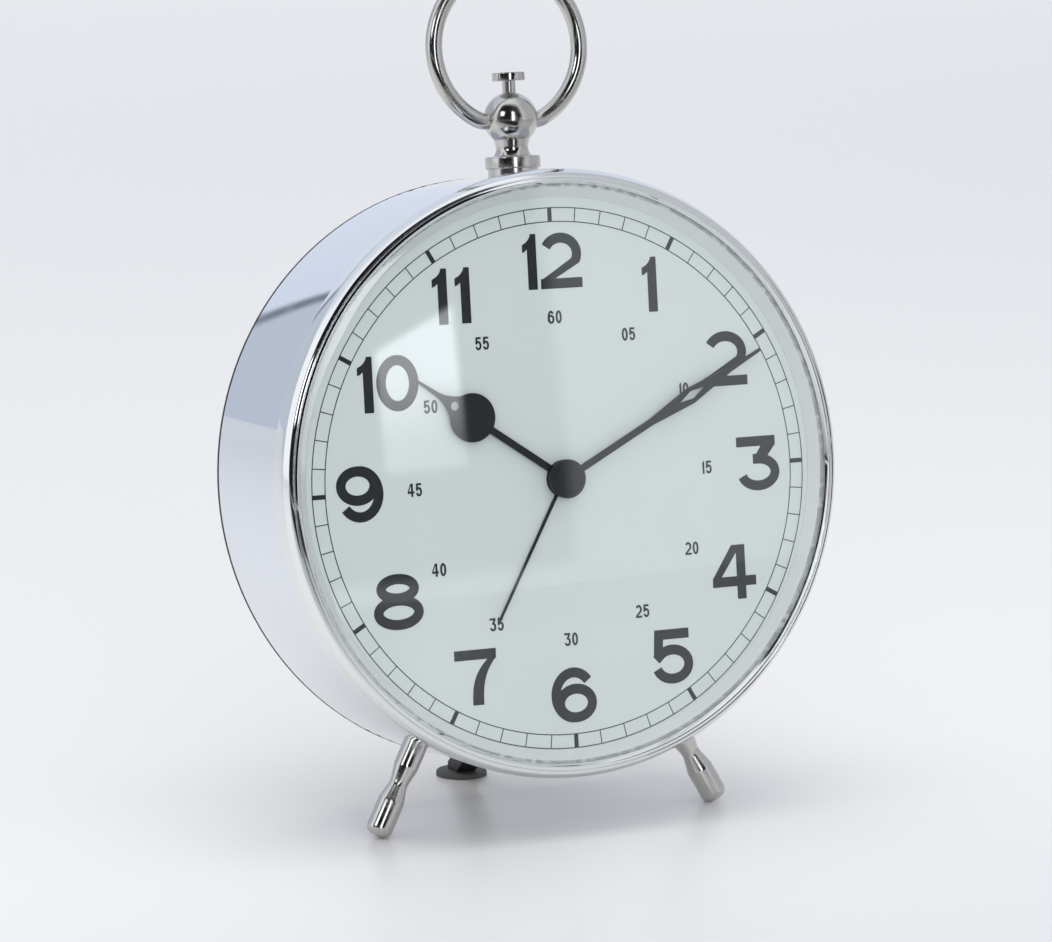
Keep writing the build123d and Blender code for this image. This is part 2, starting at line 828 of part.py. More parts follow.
with BuildPart() as finial:
    with BuildSketch(finial_plane):
        with BuildLine():
            Polyline(
                (button_bore, ball_mouth),
                (button_bore, stud_foot),
                (stud_radius, stud_foot),
                (stud_radius, washer_top),
                (4.4, washer_top),
                (4.6, washer_top + 0.2),
                (4.6, flange_top - 0.25),
                (4.35, flange_top),
                (3.05, flange_top),
            )
            ThreePointArc((3.05, flange_top), (2.65, 53.9), (neck_top_radius, neck_top))
            ThreePointArc(
                (neck_top_radius, neck_top),
                (ball_radius, ball_height),
                (button_bore, ball_mouth),
            )
        make_face()
    revolve(axis=finial_axis)
    for side in (-1, 1):
        bore_plane = Plane(
            origin=finial_plane.from_local_coords((side * ring_pin_end, pivot_height, 0)),
            z_dir=(side, 0, 0),
        )
        with BuildSketch(bore_plane.offset(-0.05)):
            Circle(ring_bore)
        extrude(amount=4, mode=Mode.SUBTRACT)
write(finial, "finial")

with BuildPart() as finial_washer:
    with BuildSketch(finial_top_plane.offset(drum_inside)):
        Circle(4.2)
        Circle(stud_radius, mode=Mode.SUBTRACT)
    extrude(amount=washer_top - drum_inside)
    with BuildSketch(layer(finial_depth + 6)):
        Circle(drum_radius)
    extrude(amount=12, mode=Mode.SUBTRACT)
write(finial_washer, "finial_washer")

with BuildPart() as finial_nut:
    with BuildSketch(finial_top_plane.offset(45.0)):
        RegularPolygon(4.6, 6)
        Circle(stud_radius, mode=Mode.SUBTRACT)
    extrude(amount=3.1)
write(finial_nut, "finial_nut")

bend_radius = 3.0
pin_length = 4.6
bend_angle = degrees(asin(pin_length / (ring_radius - bend_radius)))
ring_centre = (
    pivot_height
    + bend_radius * (1 - cos(radians(bend_angle)))
    + ring_radius * cos(radians(bend_angle))
)
bend_end = (
    ring_radius * sin(radians(bend_angle)),
    ring_centre - ring_radius * cos(radians(bend_angle)),
)
bend_mid = (
    pin_length + bend_radius * sin(radians(bend_angle / 2)),
    pivot_height + bend_radius * (1 - cos(radians(bend_angle / 2))),
)
with BuildPart() as ring_handle:
    with BuildLine(finial_plane):
        Line((ring_pin_end, pivot_height), (pin_length, pivot_height))
        ThreePointArc((pin_length, pivot_height), bend_mid, bend_end)
        ThreePointArc(bend_end, (ring_radius, ring_centre), (0, ring_centre + ring_radius))
        ThreePointArc(
            (0, ring_centre + ring_radius), (-ring_radius, ring_centre), (-bend_end[0], bend_end[1])
        )
        ThreePointArc(
            (-bend_end[0], bend_end[1]), (-bend_mid[0], bend_mid[1]), (-pin_length, pivot_height)
        )
        Line((-pin_length, pivot_height), (-ring_pin_end, pivot_height))
    pin_end = Plane(
        origin=finial_plane.from_local_coords((ring_pin_end, pivot_height, 0)), z_dir=(1, 0, 0)
    )
    with BuildSketch(pin_end):
        Circle(wire_radius)
    sweep()
write(ring_handle, "ring_handle")

button_base = 64.9
button_top = 66.4
stem_radius = 1.1
stem_foot = 38.0
button_crown = 2.55
with BuildPart() as snooze_button:
    with BuildSketch(finial_plane):
        with BuildLine():
            Polyline(
                (0, stem_foot),
                (stem_radius, stem_foot),
                (stem_radius, button_base),
                (2.6, button_base),
                (2.75, button_base + 0.15),
                (2.75, button_top - 0.3),
                (button_crown, button_top - 0.1),
            )
            ThreePointArc(
                (button_crown, button_top - 0.1),
                (button_crown / 2, button_top - 0.1 + cap_rise(button_crown, 0.1, button_crown / 2)),
                (0, button_top),
            )
            Line((0, button_top), (0, stem_foot))
        make_face()
    revolve(axis=finial_axis)
write(snooze_button, "snooze_button")

with BuildPart() as stop_clip:
    with BuildSketch(finial_top_plane.offset(stud_foot - 0.65)):
        Circle(2.6)
        Circle(stem_radius, mode=Mode.SUBTRACT)
        with Locations((0, 2)):
            Rectangle(1.2, 4, mode=Mode.SUBTRACT)
    extrude(amount=0.6)
write(stop_clip, "stop_clip")

switch_top = 36.2
spring_radius = 1.9
spring_wire = 0.25
spring_foot = switch_top + spring_wire + 0.05
spring_length = stud_foot - 0.65 - spring_wire - 0.05 - spring_foot
with BuildPart() as button_spring:
    with BuildLine():
        coil = Helix(
            pitch=spring_length / 5,
            height=spring_length,
            radius=spring_radius,
            center=finial_plane.from_local_coords((0, spring_foot, 0)),
            direction=up,
        )
    with BuildSketch(Plane(origin=coil @ 0, z_dir=coil % 0)):
        Circle(spring_wire)
    sweep(is_frenet=True)
write(button_spring, "button_spring")

movement_top = movement_size / 2 - dial_drop
with BuildPart() as snooze_switch:
    with BuildSketch(finial_top_plane.offset(movement_top)):
        with Locations((0, 1.0)):
            Rectangle(13, 7.2)
    extrude(amount=1.6)
    with BuildSketch(finial_top_plane.offset(movement_top + 1.6)):
        Rectangle(7, 6)
    extrude(amount=switch_top - movement_top - 1.6)
write(snooze_switch, "snooze_switch")

# --- Legs -----------------------------------------------------------------------------
leg_cos = cos(radians(leg_angle)) * lean_cos
leg_sin = sqrt(1 - leg_cos**2)
toe_fillet = 1.5
toe_radius = 2.25
leg_end = (
    toe_fillet
    + (
        axis_height
        - leg_depth * lean_sin
        - (toe_radius - toe_fillet) * leg_sin
        - toe_fillet
    )
    / leg_cos
)
for name, side in (("right_leg", -1), ("left_leg", 1)):
    leg_plane = spoke_plane(leg_depth, side * (180 - leg_angle))
    with BuildPart() as leg:
        with BuildSketch(leg_plane):
            with BuildLine():
                Polyline(
                    (0, leg_end),
                    (0, 44.2),
                    (leg_stud_radius, 44.2),
                    (leg_stud_radius, drum_inside - 0.5),
                    (2.1, drum_inside - 0.5),
                    (2.1, 53.4),
                )
                ThreePointArc((2.1, 53.4), (1.5, 56.6), (toe_radius, 59.6))
                Line((toe_radius, 59.6), (toe_radius, leg_end - toe_fillet))
                ThreePointArc(
                    (toe_radius, leg_end - toe_fillet),
                    (
                        toe_radius - toe_fillet * (1 - cos(radians(45))),
                        leg_end - toe_fillet * (1 - sin(radians(45))),
                    ),
                    (toe_radius - toe_fillet, leg_end),
                )
                Line((toe_radius - toe_fillet, leg_end), (0, leg_end))
            make_face()
        revolve(axis=Axis(leg_plane.origin, leg_plane.y_dir))
        with BuildSketch(layer(leg_depth + 6)):
            Circle(drum_radius)
            Circle(drum_inside - 2, mode=Mode.SUBTRACT)
        extrude(amount=12, mode=Mode.SUBTRACT)
        stud_plane = outward(leg_plane)
        with BuildSketch(stud_plane.offset(44.2)):
            Circle(leg_stud_radius)
        extrude(amount=6.0)
    write(leg, name)

with BuildPart() as leg_nuts:
    for side in (-1, 1):
        nut_plane = outward(spoke_plane(leg_depth, side * (180 - leg_angle)))
        with BuildSketch(nut_plane.offset(45.4)):
            RegularPolygon(3.1, 6)
            Circle(leg_stud_radius, mode=Mode.SUBTRACT)
        extrude(amount=2.4)
write(leg_nuts, "leg_nuts")
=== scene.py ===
"""Looks of the round chrome alarm clock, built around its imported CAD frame.

Shapes are drawn in millimetres and turned into metres when a mesh is made. They are drawn in
the dial frame (x right, y up the dial, z forward out of it), the hands frame (the same, with
its origin on the hands' axis), the finial frame (z up out of the case) and a frame for each
leg (z down the leg).
"""

import json
from math import asin, atan2, cos, degrees, pi, radians, sin, sqrt, tan

import bmesh
import bpy
from mathutils import Matrix, Vector
from mathutils.geometry import delaunay_2d_cdt


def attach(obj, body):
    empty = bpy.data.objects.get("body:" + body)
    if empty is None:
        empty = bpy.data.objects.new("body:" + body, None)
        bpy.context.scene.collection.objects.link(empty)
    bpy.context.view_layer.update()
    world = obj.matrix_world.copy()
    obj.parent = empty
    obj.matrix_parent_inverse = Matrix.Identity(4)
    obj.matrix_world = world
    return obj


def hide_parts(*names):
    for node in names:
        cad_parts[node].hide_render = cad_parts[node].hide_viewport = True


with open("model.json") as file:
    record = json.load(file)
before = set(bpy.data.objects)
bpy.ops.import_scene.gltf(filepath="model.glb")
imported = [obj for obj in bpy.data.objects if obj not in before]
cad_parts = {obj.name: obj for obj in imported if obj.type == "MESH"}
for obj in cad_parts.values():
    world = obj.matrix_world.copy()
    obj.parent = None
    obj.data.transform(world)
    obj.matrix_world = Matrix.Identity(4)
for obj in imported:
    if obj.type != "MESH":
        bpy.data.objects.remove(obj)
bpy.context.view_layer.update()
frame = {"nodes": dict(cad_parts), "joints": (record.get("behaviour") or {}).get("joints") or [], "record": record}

MM = 0.001

# --- Dimensions that the looks share with the frame, in millimetres ---------------------
DIAL_DROP = 0.8
BEZEL_RADIUS = 50.0
BEZEL_MOUTH = 46.7
DRUM_RADIUS = 49.2
DRUM_WALL = 0.8
DRUM_DEPTH = 29.2
RING_HEIGHT = 1.6
LENS_THICKNESS = 0.8
LENS_RISE = 1.2
LENS_SEAT = RING_HEIGHT + LENS_THICKNESS
LEG_DEPTH = 12.3
LEG_ANGLE = 28.5
PIVOT_HEIGHT = 58.4
BALL_HEIGHT = 58.6
BALL_RADIUS = 4.5
RING_RADIUS = 13.2
WIRE_RADIUS = 1.4

# --- Frames -----------------------------------------------------------------------------
joints = {joint["name"]: joint for joint in frame["joints"]}
right = Vector((1, 0, 0))
forward = -Vector(joints["minute_turn"]["axis"])
upward = forward.cross(right)
hands_point = Vector(joints["minute_turn"]["pos_m"])
case_centre = hands_point + upward * DIAL_DROP * MM
finial_foot = Vector(joints["ring_swing"]["pos_m"]) - upward * PIVOT_HEIGHT * MM


def placed(origin, x_dir, z_dir):
    """Matrix from millimetres in a local frame to metres in the row frame."""
    y_dir = z_dir.cross(x_dir)
    turn = Matrix((x_dir, y_dir, z_dir)).transposed().to_4x4()
    return Matrix.Translation(origin) @ turn @ Matrix.Scale(MM, 4)


dial_frame = placed(case_centre, right, forward)
hands_frame = placed(hands_point, right, forward)
finial_frame = placed(finial_foot, right, upward)


def leg_frame(side):
    """Frame whose z runs down a leg, from the case axis. Side is -1 at the left, 1 at the right."""
    angle = radians(LEG_ANGLE)
    down = right * side * sin(angle) - upward * cos(angle)
    return placed(case_centre - forward * LEG_DEPTH * MM, forward, down)


# --- Materials --------------------------------------------------------------------------
class Graph:
    """Short calls that add nodes to a material or world."""

    def __init__(self, tree):
        self.tree = tree

    def node(self, kind, inputs=(), **settings):
        made = self.tree.nodes.new(kind)
        for name, value in settings.items():
            setattr(made, name, value)
        for key, value in dict(inputs).items():
            if isinstance(value, bpy.types.NodeSocket):
                self.tree.links.new(value, made.inputs[key])
            else:
                made.inputs[key].default_value = value
        return made

    def maths(self, operation, first, second=0.0):
        return self.node("ShaderNodeMath", {0: first, 1: second}, operation=operation).outputs[0]

    def dot(self, vector, direction):
        made = self.node("ShaderNodeVectorMath", {0: vector, 1: direction}, operation="DOT_PRODUCT")
        return made.outputs["Value"]

    def ramp(self, value, low, high, start, end):
        """Smooth step of value from start to end as it goes from low to high."""
        made = self.node(
            "ShaderNodeMapRange",
            {"Value": value, "From Min": low, "From Max": high, "To Min": start, "To Max": end},
            interpolation_type="SMOOTHSTEP",
        )
        return made.outputs[0]

    def mix(self, share, first, second):
        made = self.node("ShaderNodeMix", {0: share}, data_type="RGBA")
        for socket, value in ((made.inputs[6], first), (made.inputs[7], second)):
            if isinstance(value, bpy.types.NodeSocket):
                self.tree.links.new(value, socket)
            else:
                socket.default_value = (*value, 1.0)
        return made.outputs[2]

    def place(self):
        """The piece's own coordinates, in metres."""
        return self.node("ShaderNodeTexCoord").outputs["Object"]

    def bump(self, height, distance, strength=1.0, under=None):
        """Normal with a relief of distance millimetres, over another normal where there is one."""
        inputs = {"Height": height, "Strength": strength, "Distance": distance * MM}
        if under is not None:
            inputs["Normal"] = under
        return self.node("ShaderNodeBump", inputs).outputs[0]

    def principled(self, colour, roughness, **others):
        """Shader of a colour, a roughness and other inputs, with _ for the spaces in their names."""
        inputs = {"Base Color": colour, "Roughness": roughness}
        inputs.update((name.replace("_", " "), value) for name, value in others.items())
        return self.node("ShaderNodeBsdfPrincipled", inputs).outputs[0]

    def noise(self, vector, scale, detail=4.0, roughness=0.55):
        return self.node(
            "ShaderNodeTexNoise",
            {"Vector": vector, "Scale": scale, "Detail": detail, "Roughness": roughness},
        ).outputs["Fac"]


def new_graph(name):
    material = bpy.data.materials.new(name)
    material.use_nodes = True
    material.node_tree.nodes.clear()
    return material, Graph(material.node_tree)


def finish_graph(graph, shader):
    graph.node("ShaderNodeOutputMaterial", {"Surface": shader})


def scaled(colour, share):
    return tuple(min(1.0, channel * share) for channel in colour)


def surface(name, colour, roughness, shade, relief, shade_scale=300.0, relief_scale=2500.0):
    """Paint, plastic or print whose colour, roughness and relief vary with noise over the piece."""
    spread = 0.06
    spread_scale = 900.0
    material, graph = new_graph(name)
    place = graph.place()
    shades = graph.noise(place, shade_scale)
    tone = graph.mix(shades, scaled(colour, 1 - shade), scaled(colour, 1 + shade))
    gloss = graph.ramp(
        graph.noise(place, spread_scale), 0.3, 0.7, roughness - spread, roughness + spread
    )
    grain = graph.bump(graph.noise(place, relief_scale, 6.0, 0.6), relief)
    finish_graph(graph, graph.principled(tone, gloss, Normal=grain))
    return material


def polished(name, colour, roughness, wave, wave_scale):
    """Mirror plating: long soft waves in the pressed sheet under very fine polishing marks."""
    scratch = 0.0004
    scratch_scale = 6000.0
    haze_scale = 220.0
    stain_scale = 90.0
    material, graph = new_graph(name)
    place = graph.place()
    waves = graph.bump(graph.noise(place, wave_scale, 1.0), wave)
    marks = graph.bump(graph.noise(place, scratch_scale, 3.0), scratch, under=waves)
    haze = graph.ramp(
        graph.noise(place, haze_scale, 5.0), 0.35, 0.75, roughness * 0.6, roughness * 1.8
    )
    tone = graph.mix(graph.noise(place, stain_scale, 3.0), scaled(colour, 0.97), colour)
    finish_graph(graph, graph.principled(tone, haze, Metallic=1.0, Normal=marks))
    return material


def window_glass(name):
    """Thin clear cover: a faint green tint and a mirror that strengthens at grazing angles."""
    tint = (0.986, 0.994, 0.993, 1)
    smear_scale = 60.0
    surfaces = 2.1  # mirrors of the outer and the inner surface, taken together
    material, graph = new_graph(name)
    smear = graph.ramp(graph.noise(graph.place(), smear_scale, 4.0), 0.3, 0.8, 0.012, 0.03)
    clear = graph.node("ShaderNodeBsdfTransparent", {"Color": tint})
    gloss = graph.node("ShaderNodeBsdfGlossy", {"Color": (1, 1, 1, 1), "Roughness": smear})
    # only faces turned to the viewer mirror, so that nothing is trapped inside the cover
    inside = graph.node("ShaderNodeNewGeometry").outputs["Backfacing"]
    fresnel = graph.node("ShaderNodeFresnel", {"IOR": 1.5}).outputs[0]
    both = graph.maths("MINIMUM", graph.maths("MULTIPLY", fresnel, surfaces), 1.0)
    share = graph.maths("MULTIPLY", both, graph.maths("SUBTRACT", 1.0, inside))
    mixed = graph.node("ShaderNodeMixShader", {0: share, 1: clear.outputs[0], 2: gloss.outputs[0]})
    finish_graph(graph, mixed.outputs[0])
    return material


def banded(name, bands, roughness, metallic):
    """Sleeve printed in bands along X, given as [(x of a band's start, colour)]."""
    reach = 30.0
    material, graph = new_graph(name)
    place = graph.place()
    along = graph.node("ShaderNodeSeparateXYZ", {0: place}).outputs["X"]
    share = graph.ramp(along, -reach * MM, reach * MM, 0.0, 1.0)
    share.node.interpolation_type = "LINEAR"
    ramp = graph.node("ShaderNodeValToRGB", {"Fac": share})
    ramp.color_ramp.interpolation = "CONSTANT"
    stops = ramp.color_ramp.elements
    while len(stops) < len(bands):
        stops.new(1.0)
    for stop, (position, colour) in zip(stops, bands):
        stop.position = (position + reach) / (2 * reach)
        stop.color = (*colour, 1)
    gloss = graph.ramp(graph.noise(place, 700.0), 0.3, 0.7, roughness - 0.05, roughness + 0.08)
    finish_graph(graph, graph.principled(ramp.outputs[0], gloss, Metallic=metallic))
    return material


def turned(name, colour, roughness, rings=3500.0, relief=0.002):
    """Metal faced on a lathe or wound from wire: fine parallel lines that catch the light."""
    material, graph = new_graph(name)
    place = graph.place()
    lines = graph.node(
        "ShaderNodeTexWave",
        {"Vector": place, "Scale": rings, "Distortion": 3.0, "Detail": 3.0, "Detail Scale": 2.0},
        wave_type="RINGS",
        rings_direction="SPHERICAL",
    ).outputs["Fac"]
    tone = graph.mix(graph.noise(place, 400.0, 5.0), scaled(colour, 0.85), colour)
    gloss = graph.ramp(graph.noise(place, 1500.0), 0.3, 0.7, roughness * 0.8, roughness * 1.25)
    grooves = graph.bump(lines, relief, strength=0.6)
    finish_graph(graph, graph.principled(tone, gloss, Metallic=1.0, Normal=grooves))
    return material


def laminate(name):
    """Green circuit board with paler copper tracks under its varnish."""
    material, graph = new_graph(name)
    place = graph.place()
    tracks = graph.node(
        "ShaderNodeTexVoronoi", {"Vector": place, "Scale": 900.0}, distance="MANHATTAN"
    ).outputs["Distance"]
    track_green = (0.05, 0.22, 0.08)
    board_green = (0.02, 0.11, 0.045)
    tone = graph.mix(graph.ramp(tracks, 0.3, 0.36, 0.0, 1.0), track_green, board_green)
    finish_graph(graph, graph.principled(tone, 0.35))
    return material


finishes = {
    "case_chrome": polished(
        "case_chrome", (0.80, 0.83, 0.89), 0.035, wave=0.012, wave_scale=45.0
    ),
    "bezel_chrome": polished(
        "bezel_chrome", (0.83, 0.845, 0.855), 0.06, wave=0.004, wave_scale=60.0
    ),
    "nickel": polished("nickel", (0.60, 0.59, 0.575), 0.18, wave=0.0025, wave_scale=180.0),
    "clear_lens": window_glass("clear_lens"),
    "silver_ring": surface(
        "silver_ring", (0.61, 0.632, 0.634), 0.45, shade=0.03, relief=0.0015
    ),
    "dial_white": surface(
        "dial_white", (0.603, 0.643, 0.645), 0.62, shade=0.012, shade_scale=120.0, relief=0.0012,
        relief_scale=5000.0,
    ),
    "dial_ink": surface(
        "dial_ink", (0.0135, 0.016, 0.0175), 0.55, shade=0.15, shade_scale=1800.0, relief=0.001
    ),
    "hand_black": surface(
        "hand_black", (0.010, 0.0115, 0.013), 0.42, shade=0.2, shade_scale=900.0, relief=0.0015
    ),
    "wheel_brass": turned("wheel_brass", (0.72, 0.54, 0.24), 0.28),
    "steel": turned("steel", (0.58, 0.58, 0.60), 0.3),
    "coil_copper": turned("coil_copper", (0.62, 0.28, 0.11), 0.35, rings=5000.0, relief=0.02),
    "movement_plastic": surface(
        "movement_plastic", (0.72, 0.73, 0.70), 0.5, shade=0.04, relief=0.003
    ),
    "board_green": laminate("board_green"),
    "cover_black": surface(
        "cover_black", (0.020, 0.021, 0.022), 0.5, shade=0.2, shade_scale=700.0, relief=0.01,
        relief_scale=2600.0,
    ),
    "switch_grey": surface("switch_grey", (0.34, 0.35, 0.36), 0.45, shade=0.06, relief=0.004),
    "foot_rubber": surface(
        "foot_rubber", (0.085, 0.087, 0.086), 0.8, shade=0.25, shade_scale=1500.0, relief=0.02
    ),
    "cell_jacket": banded(
        "cell_jacket",
        [(-30, (0.55, 0.55, 0.56)), (-24.1, (0.03, 0.035, 0.045)), (15.0, (0.66, 0.40, 0.17)),
         (23.4, (0.6, 0.6, 0.61))],
        0.28, 0.75,
    ),
}
for entry in frame["record"]["subparts"]:
    data = frame["nodes"][entry["node"]].data
    data.materials.clear()
    data.materials.append(finishes[entry["material_slot"]])


# --- Mesh helpers -----------------------------------------------------------------------
def piece_from(name, vertices, faces, matrix, body, slot, look=None, sharp=35.0):
    """Object made of a mesh in a local frame, riding on a body, with its finish."""
    data = bpy.data.meshes.new(name)
    data.from_pydata(vertices, [], faces)
    work = bmesh.new()
    work.from_mesh(data)
    bmesh.ops.recalc_face_normals(work, faces=work.faces[:])
    work.to_mesh(data)
    work.free()
    data.transform(matrix)
    data.polygons.foreach_set("use_smooth", [True] * len(data.polygons))
    data.set_sharp_from_angle(angle=radians(sharp))
    data.update()
    data.materials.append(finishes[look or slot])
    piece = bpy.data.objects.new(name, data)
    bpy.context.scene.collection.objects.link(piece)
    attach(piece, body)
    return piece


def rounded(corners, closed=True, steps=8):
    """Points of a profile whose corners (radius, height, fillet) are rounded off."""
    points = []
    count = len(corners)
    for index, (across, along, fillet) in enumerate(corners):
        corner = Vector((across, along))
        inner = closed or 0 < index < count - 1
        if not fillet or not inner:
            points.append(tuple(corner))
            continue
        before = Vector(corners[index - 1][:2]) - corner
        after = Vector(corners[(index + 1) % count][:2]) - corner
        before.normalize()
        after.normalize()
        half = before.angle(after) / 2
        centre = corner + (before + after).normalized() * fillet / sin(half)
        start = corner + before * fillet / tan(half) - centre
        end = corner + after * fillet / tan(half) - centre
        turn = start.angle_signed(end)
        for step in range(steps + 1):
            points.append(tuple(centre + Matrix.Rotation(-turn * step / steps, 2) @ start))
    return points


def arc(centre, radius, start, end, steps):
    """Points of an arc in a profile, from one angle to another in degrees."""
    angles = [radians(start + (end - start) * step / steps) for step in range(steps + 1)]
    return [(centre[0] + radius * cos(a), centre[1] + radius * sin(a)) for a in angles]


def lathe(profile, segments, closed):
    """Vertices and faces of a profile [(radius, height)] turned about z."""
    vertices = []
    rows = []
    for radius, height in profile:
        start = len(vertices)
        if radius < 1e-6:
            vertices.append((0.0, 0.0, height))
            rows.append([start] * segments)
            continue
        for index in range(segments):
            angle = 2 * pi * index / segments
            vertices.append((radius * cos(angle), radius * sin(angle), height))
        rows.append(list(range(start, start + segments)))
    faces = []
    pairs = list(zip(rows, rows[1:]))
    if closed:
        pairs.append((rows[-1], rows[0]))
    for low, high in pairs:
        for index in range(segments):
            follow = (index + 1) % segments
            corners = [low[index], low[follow], high[follow], high[index]]
            face = [v for place, v in enumerate(corners) if v not in corners[:place]]
            if len(face) > 2:
                faces.append(face)
    return vertices, faces


def lathed(name, profile, matrix, body, slot, node=None, look=None, segments=256, closed=True,
           sharp=35.0):
    vertices, faces = lathe(profile, segments, closed)
    piece = piece_from(name, vertices, faces, matrix, body, slot, look, sharp)
    if node:
        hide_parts(node)
    return piece


# --- Case -------------------------------------------------------------------------------
BEZEL_FIT = DRUM_RADIUS + 0.02
BEZEL_BACK = -2.6
BEZEL_SHOULDER = 1.1
BEZEL_BEND = 2.65
GROOVE_OUTER = 48.74
GROOVE_INNER = 48.47
GROOVE_FOOT = 2.76
CREST_RADIUS = 47.95
CREST_HEIGHT = 3.35
LIP_RADIUS = 47.45
LENS_EDGE = BEZEL_MOUTH - 0.1
LENS_RIM = DRUM_RADIUS - 0.15
LENS_STEP = 1.2

lathed(
    "chrome_drum",
    rounded([
        (DRUM_RADIUS - DRUM_WALL, 0, 0),
        (DRUM_RADIUS - DRUM_WALL, -DRUM_DEPTH, 0.1),
        (DRUM_RADIUS, -DRUM_DEPTH, 0.35),
        (DRUM_RADIUS, 0, 0),
    ]),
    dial_frame, "case", "case_chrome", "case_drum", segments=720,
)

lathed(
    "polished_bezel",
    rounded([
        (BEZEL_FIT, BEZEL_BACK, 0.05),
        (BEZEL_RADIUS - 0.05, BEZEL_BACK, 0.4),
        (BEZEL_RADIUS, BEZEL_SHOULDER, 2.4),
        (DRUM_RADIUS, BEZEL_BEND, 1.2),
        (GROOVE_OUTER, 2.908, 0.04),
        (GROOVE_INNER + 0.05, GROOVE_FOOT, 0.05),
        (GROOVE_INNER, 3.059, 0.05),
        (CREST_RADIUS, CREST_HEIGHT, 0.22),
        (LIP_RADIUS, LENS_SEAT + 0.06, 0.05),
        (LIP_RADIUS, LENS_SEAT, 0),
        (BEZEL_FIT, LENS_SEAT, 0),
    ], steps=10),
    dial_frame, "case", "case_chrome", "front_bezel", look="bezel_chrome", segments=720,
)


def dome(radius, height):
    """Height of the lens's spherical surface at a radius, over its flat rim at height."""
    sphere = (LENS_EDGE**2 + LENS_RISE**2) / (2 * LENS_RISE)
    if radius >= LENS_EDGE:
        return height
    return height + sqrt(sphere**2 - radius**2) - (sphere - LENS_RISE)


lens_radii = [step * LENS_STEP for step in range(int(LENS_EDGE / LENS_STEP) + 1)]
lens_radii += [LENS_EDGE, LENS_RIM]
lens_profile = [(radius, dome(radius, RING_HEIGHT)) for radius in lens_radii]
lens_profile += [(radius, dome(radius, LENS_SEAT)) for radius in reversed(lens_radii)]
lathed(
    "domed_lens", lens_profile, dial_frame, "case", "clear_lens", "lens", segments=360,
    closed=False, sharp=60,
)

# --- Dial printing ----------------------------------------------------------------------
NUMERAL_HEIGHT = 9.1
STROKE = 1.66
NUMERAL_CIRCLE = 35.7
LABEL_HEIGHT = 2.15
LABEL_STROKE = 0.35
LABEL_CIRCLE = 26.5
TRACK_OUTER = 44.39
TRACK_INNER = 42.12
LINE = 0.16
BOLD_TICK = 0.75
TICK_GAP = 0.01
INK_FOOT = 0.01
INK_TOP = 0.03
NUMERAL_GAP = 0.6
ELEVEN_GAP = 1.4
TWELVE_SQUEEZE = 0.95
TEN_INSET = 0.8
LABEL_GAP = 0.24
LABEL_SQUEEZE = 0.62


def bow(centre, across, along, start, end, steps=20):
    """Points of an elliptical bow of a numeral, angles in degrees."""
    angles = [radians(start + (end - start) * step / steps) for step in range(steps + 1)]
    return [(centre[0] + across * cos(a), centre[1] + along * sin(a)) for a in angles]


def unfolded(corners):
    """Corners in order round their middle, so that a quad folded by a tight bend stays simple."""
    middle = sum(corners, Vector((0, 0))) / len(corners)
    return sorted(corners, key=lambda corner: atan2(corner.y - middle.y, corner.x - middle.x))


def stroke_faces(path, width):
    """Quads of a line of constant width, joined into a loop or with butt ends."""
    points = [Vector(point) for point in path]
    last = len(points) - 1
    steps = [after - before for before, after in zip(points, points[1:])]
    looped = (points[0] - points[last]).length < 1e-6
    sides = []
    for index, point in enumerate(points):
        before = steps[index - 1] if index or looped else steps[0]
        after = steps[index] if index < last else steps[0 if looped else -1]
        normal = (before.normalized() + after.normalized()).orthogonal().normalized()
        reach = width / 2 / max(0.3, normal.dot(after.orthogonal().normalized()))
        sides.append((point + normal * reach, point - normal * reach))
    return [unfolded([a[0], a[1], b[1], b[0]]) for a, b in zip(sides, sides[1:])]


